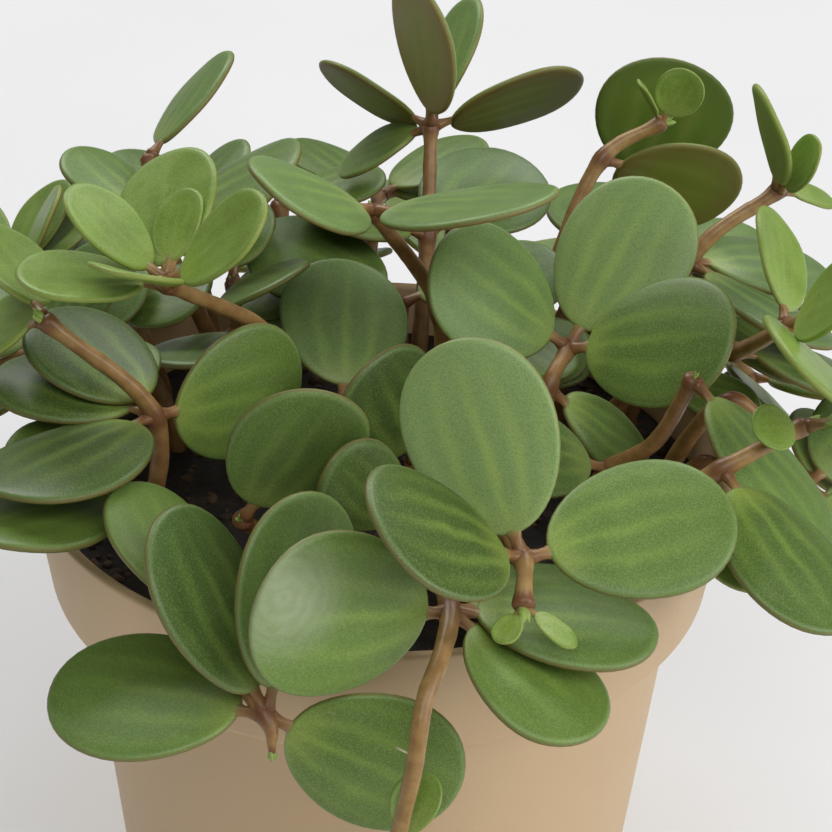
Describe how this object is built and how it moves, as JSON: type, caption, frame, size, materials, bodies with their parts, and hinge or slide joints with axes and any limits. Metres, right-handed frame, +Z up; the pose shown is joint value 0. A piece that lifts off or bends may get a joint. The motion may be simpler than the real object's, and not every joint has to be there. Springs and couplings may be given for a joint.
{
  "type": "potted peperomia",
  "caption": "Small trailing houseplant with thick round green leaves on brown stems, growing in soil in a plain tapered tan pot with a collar rim.",
  "frame": {"origin": "centre of the pot's flat underside, on the pot's axis", "axes": "+Z up along the pot's axis, +Y to the rear, -Y towards the side with the long trailing stem, +X to the right seen from the front"},
  "size_m": [0.1744, 0.1796, 0.1507],
  "materials": {
    "pot": "satin",
    "soil": "matte",
    "leaf": "satin",
    "young_leaf": "satin",
    "stem": "satin"
  },
  "bodies": {
    "root": {"pot": "pot", "soil": "soil", "shoot_front": "leaf", "shoot_front_right": "leaf", "shoot_front_left": "leaf", "shoot_inner_left": "leaf", "shoot_inner": "leaf", "shoot_inner_front": "leaf", "shoot_inner_rear": "leaf", "shoot_inner_low": "leaf", "shoot_crown": "leaf", "shoot_middle_right": "leaf", "shoot_upper_left": "leaf", "shoot_left": "leaf", "shoot_left_low": "leaf", "shoot_rear": "leaf", "shoot_rear_right": "leaf", "shoot_upper_right": "leaf", "shoot_right_rear": "leaf", "shoot_right": "leaf", "shoot_right_low": "leaf", "shoot_right_front": "leaf", "shoot_rear_left": "leaf", "shoot_outer_1": "leaf", "shoot_outer_2": "leaf", "shoot_outer_3": "leaf", "shoot_outer_4": "leaf", "shoot_outer_5": "leaf", "shoot_outer_6": "leaf", "shoot_outer_7": "leaf", "shoot_outer_8": "leaf", "shoot_outer_9": "leaf", "shoot_outer_10": "leaf", "shoot_outer_11": "leaf", "shoot_outer_12": "leaf", "shoot_outer_13": "leaf", "shoot_inner_1": "leaf", "shoot_inner_2": "leaf"}
  },
  "joints": []
}
